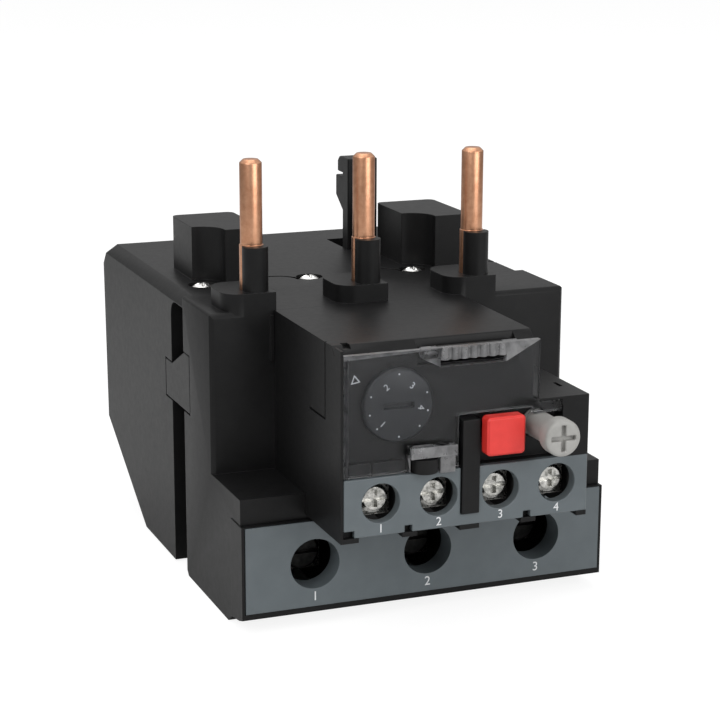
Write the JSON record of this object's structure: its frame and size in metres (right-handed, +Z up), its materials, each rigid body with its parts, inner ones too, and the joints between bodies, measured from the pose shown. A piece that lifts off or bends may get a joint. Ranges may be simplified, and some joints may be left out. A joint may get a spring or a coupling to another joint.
{
  "type": "thermal overload relay",
  "caption": "Plug-in thermal overload relay: upright line pins, setting dial under a hinged clear flap, stop and reset buttons, screw terminals.",
  "frame": {"origin": "mouth of the middle load terminal's screwdriver bore, on the front face of the terminal plate", "axes": "+X to the right seen from the front, +Y to the back, +Z up along the line pins"},
  "size_m": [0.0764, 0.1275, 0.0881],
  "materials": {
    "black_plastic": "fine moulded satin",
    "grey_plastic": "smooth satin blue-grey",
    "clear_plastic": "clear polycarbonate",
    "copper": "bright drawn copper",
    "zinc_steel": "bright zinc plate",
    "contact_brass": "plain brass",
    "heater_ribbon": "dull resistance alloy",
    "bimetal_steel": "rolled strip",
    "spring_steel": "bright wire",
    "red_plastic": "satin red",
    "light_plastic": "satin light grey",
    "dial_plastic": "satin blue-black",
    "inner_plastic": "natural moulding"
  },
  "bodies": {
    "base": {"rear_housing": "black_plastic", "front_housing": "black_plastic", "control_housing": "black_plastic", "left_clip": "black_plastic", "right_clip": "black_plastic", "contactor_hook": "black_plastic", "terminal_frame": "black_plastic", "terminal_plate": "grey_plastic", "control_terminal_plate": "grey_plastic", "line_pin_1": "copper", "line_pin_2": "copper", "line_pin_3": "copper", "pin_screws": "zinc_steel", "heater_1": "heater_ribbon", "heater_2": "heater_ribbon", "heater_3": "heater_ribbon", "bimetal_1": "bimetal_steel", "bimetal_2": "bimetal_steel", "bimetal_3": "bimetal_steel", "bimetal_carrier": "inner_plastic", "load_bar_1": "copper", "load_bar_2": "copper", "load_bar_3": "copper", "contact_strip_1": "contact_brass", "contact_strip_2": "contact_brass", "contact_strip_3": "contact_brass", "contact_strip_4": "contact_brass", "lever_pivot": "zinc_steel", "rocker_pivot": "zinc_steel", "cover_hinge_pin": "zinc_steel", "stop_spring": "spring_steel", "reset_spring": "spring_steel"},
    "cover": {"clear_cover": "clear_plastic"},
    "dial": {"setting_dial": "dial_plastic"},
    "stop": {"stop_button": "red_plastic"},
    "reset_stem": {"reset_plunger": "light_plastic"},
    "reset_head": {"reset_knob": "light_plastic"},
    "test": {"test_button": "black_plastic"},
    "slide": {"trip_slide": "inner_plastic"},
    "second_slide": {"differential_slide": "inner_plastic"},
    "lever": {"trip_lever": "inner_plastic", "compensating_strip": "bimetal_steel"},
    "rocker": {"trip_rocker": "inner_plastic"},
    "carrier": {"contact_carrier": "inner_plastic", "no_bridge": "contact_brass", "nc_bridge": "contact_brass"},
    "load_screw_body_1": {"load_screw_1": "zinc_steel"},
    "load_clamp_body_1": {"load_clamp_1": "zinc_steel"},
    "load_screw_body_2": {"load_screw_2": "zinc_steel"},
    "load_clamp_body_2": {"load_clamp_2": "zinc_steel"},
    "load_screw_body_3": {"load_screw_3": "zinc_steel"},
    "load_clamp_body_3": {"load_clamp_3": "zinc_steel"},
    "control_clamp_body_1": {"control_clamp_1": "zinc_steel"},
    "control_screw_body_1": {"control_screw_1": "zinc_steel"},
    "control_clamp_body_2": {"control_clamp_2": "zinc_steel"},
    "control_screw_body_2": {"control_screw_2": "zinc_steel"},
    "control_clamp_body_3": {"control_clamp_3": "zinc_steel"},
    "control_screw_body_3": {"control_screw_3": "zinc_steel"},
    "control_clamp_body_4": {"control_clamp_4": "zinc_steel"},
    "control_screw_body_4": {"control_screw_4": "zinc_steel"}
  },
  "joints": [
    {"name": "cover_hinge", "type": "hinge", "parent": "base", "child": "cover", "pos_m": [0, -0.0151, 0.0439], "axis": [-1, 0, 0], "range_deg": [0, 90]},
    {"name": "dial_turn", "type": "hinge", "parent": "base", "child": "dial", "pos_m": [-0.013, -0.0142, 0.0345], "axis": [0, 1, 0], "range_deg": [0, 270]},
    {"name": "stop_press", "type": "slide", "parent": "base", "child": "stop", "axis": [0, 1, 0], "range_m": [0, 0.0025], "stiffness_N_per_m": 500, "springref_m": -0.001, "deforming": ["stop_spring"]},
    {"name": "reset_press", "type": "slide", "parent": "base", "child": "reset_stem", "axis": [0, 1, 0], "range_m": [0, 0.0025], "stiffness_N_per_m": 500, "springref_m": -0.001, "deforming": ["reset_spring"]},
    {"name": "reset_turn", "type": "hinge", "parent": "reset_stem", "child": "reset_head", "pos_m": [0.0155, -0.02, 0.0281], "axis": [0, 1, 0], "range_deg": [0, 90]},
    {"name": "test_press", "type": "slide", "parent": "base", "child": "test", "axis": [0, 1, 0], "range_m": [0, 0.0009], "stiffness_N_per_m": 400, "springref_m": -0.001},
    {"name": "slide_travel", "type": "slide", "parent": "base", "child": "slide", "axis": [1, 0, 0], "range_m": [0, 0.0025]},
    {"name": "second_slide_travel", "type": "slide", "parent": "base", "child": "second_slide", "axis": [1, 0, 0], "range_m": [0, 0.0025]},
    {"name": "lever_swing", "type": "hinge", "parent": "base", "child": "lever", "pos_m": [0.011, 0.034, 0.0315], "axis": [0, 0, -1], "range_deg": [0, 5.96]},
    {"name": "rocker_swing", "type": "hinge", "parent": "base", "child": "rocker", "pos_m": [0.003, 0.0108, 0.0329], "axis": [0, 0, 1], "range_deg": [0, 12.61]},
    {"name": "carrier_travel", "type": "slide", "parent": "base", "child": "carrier", "axis": [0, 1, 0], "range_m": [0, 0.0016]},
    {"name": "load_screw_turn_1", "type": "hinge", "parent": "base", "child": "load_screw_body_1", "pos_m": [-0.0235, 0.009, 0], "axis": [0, 1, 0], "range_deg": [0, 1440]},
    {"name": "load_clamp_travel_1", "type": "slide", "parent": "base", "child": "load_clamp_body_1", "axis": [0, -1, 0], "range_m": [0, 0.004]},
    {"name": "load_screw_turn_2", "type": "hinge", "parent": "base", "child": "load_screw_body_2", "pos_m": [0, 0.009, 0], "axis": [0, 1, 0], "range_deg": [0, 1440]},
    {"name": "load_clamp_travel_2", "type": "slide", "parent": "base", "child": "load_clamp_body_2", "axis": [0, -1, 0], "range_m": [0, 0.004]},
    {"name": "load_screw_turn_3", "type": "hinge", "parent": "base", "child": "load_screw_body_3", "pos_m": [0.0235, 0.009, 0], "axis": [0, 1, 0], "range_deg": [0, 1440]},
    {"name": "load_clamp_travel_3", "type": "slide", "parent": "base", "child": "load_clamp_body_3", "axis": [0, -1, 0], "range_m": [0, 0.004]},
    {"name": "control_clamp_travel_1", "type": "slide", "parent": "base", "child": "control_clamp_body_1", "axis": [0, -1, 0], "range_m": [0, 0.0024]},
    {"name": "control_screw_turn_1", "type": "hinge", "parent": "control_clamp_body_1", "child": "control_screw_body_1", "pos_m": [-0.017, -0.0122, 0.0167], "axis": [0, -1, 0], "range_deg": [0, 1440]},
    {"name": "control_clamp_travel_2", "type": "slide", "parent": "base", "child": "control_clamp_body_2", "axis": [0, -1, 0], "range_m": [0, 0.0024]},
    {"name": "control_screw_turn_2", "type": "hinge", "parent": "control_clamp_body_2", "child": "control_screw_body_2", "pos_m": [-0.0054, -0.0122, 0.0167], "axis": [0, -1, 0], "range_deg": [0, 1440]},
    {"name": "control_clamp_travel_3", "type": "slide", "parent": "base", "child": "control_clamp_body_3", "axis": [0, -1, 0], "range_m": [0, 0.0024]},
    {"name": "control_screw_turn_3", "type": "hinge", "parent": "control_clamp_body_3", "child": "control_screw_body_3", "pos_m": [0.0072, -0.0122, 0.0167], "axis": [0, -1, 0], "range_deg": [0, 1440]},
    {"name": "control_clamp_travel_4", "type": "slide", "parent": "base", "child": "control_clamp_body_4", "axis": [0, -1, 0], "range_m": [0, 0.0024]},
    {"name": "control_screw_turn_4", "type": "hinge", "parent": "control_clamp_body_4", "child": "control_screw_body_4", "pos_m": [0.0189, -0.0122, 0.0167], "axis": [0, -1, 0], "range_deg": [0, 1440]}
  ],
  "couplings": [
    {"joint": "second_slide_travel", "follows": "slide_travel", "ratio": 1},
    {"joint": "lever_swing", "follows": "slide_travel", "rad_per_m": 41.6},
    {"joint": "rocker_swing", "follows": "slide_travel", "rad_per_m": 88},
    {"joint": "carrier_travel", "follows": "slide_travel", "ratio": 0.64},
    {"joint": "load_screw_turn_1", "follows": "load_clamp_travel_1", "rad_per_m": 6283.2},
    {"joint": "load_screw_turn_2", "follows": "load_clamp_travel_2", "rad_per_m": 6283.2},
    {"joint": "load_screw_turn_3", "follows": "load_clamp_travel_3", "rad_per_m": 6283.2},
    {"joint": "control_screw_turn_1", "follows": "control_clamp_travel_1", "rad_per_m": 10472},
    {"joint": "control_screw_turn_2", "follows": "control_clamp_travel_2", "rad_per_m": 10472},
    {"joint": "control_screw_turn_3", "follows": "control_clamp_travel_3", "rad_per_m": 10472},
    {"joint": "control_screw_turn_4", "follows": "control_clamp_travel_4", "rad_per_m": 10472}
  ]
}
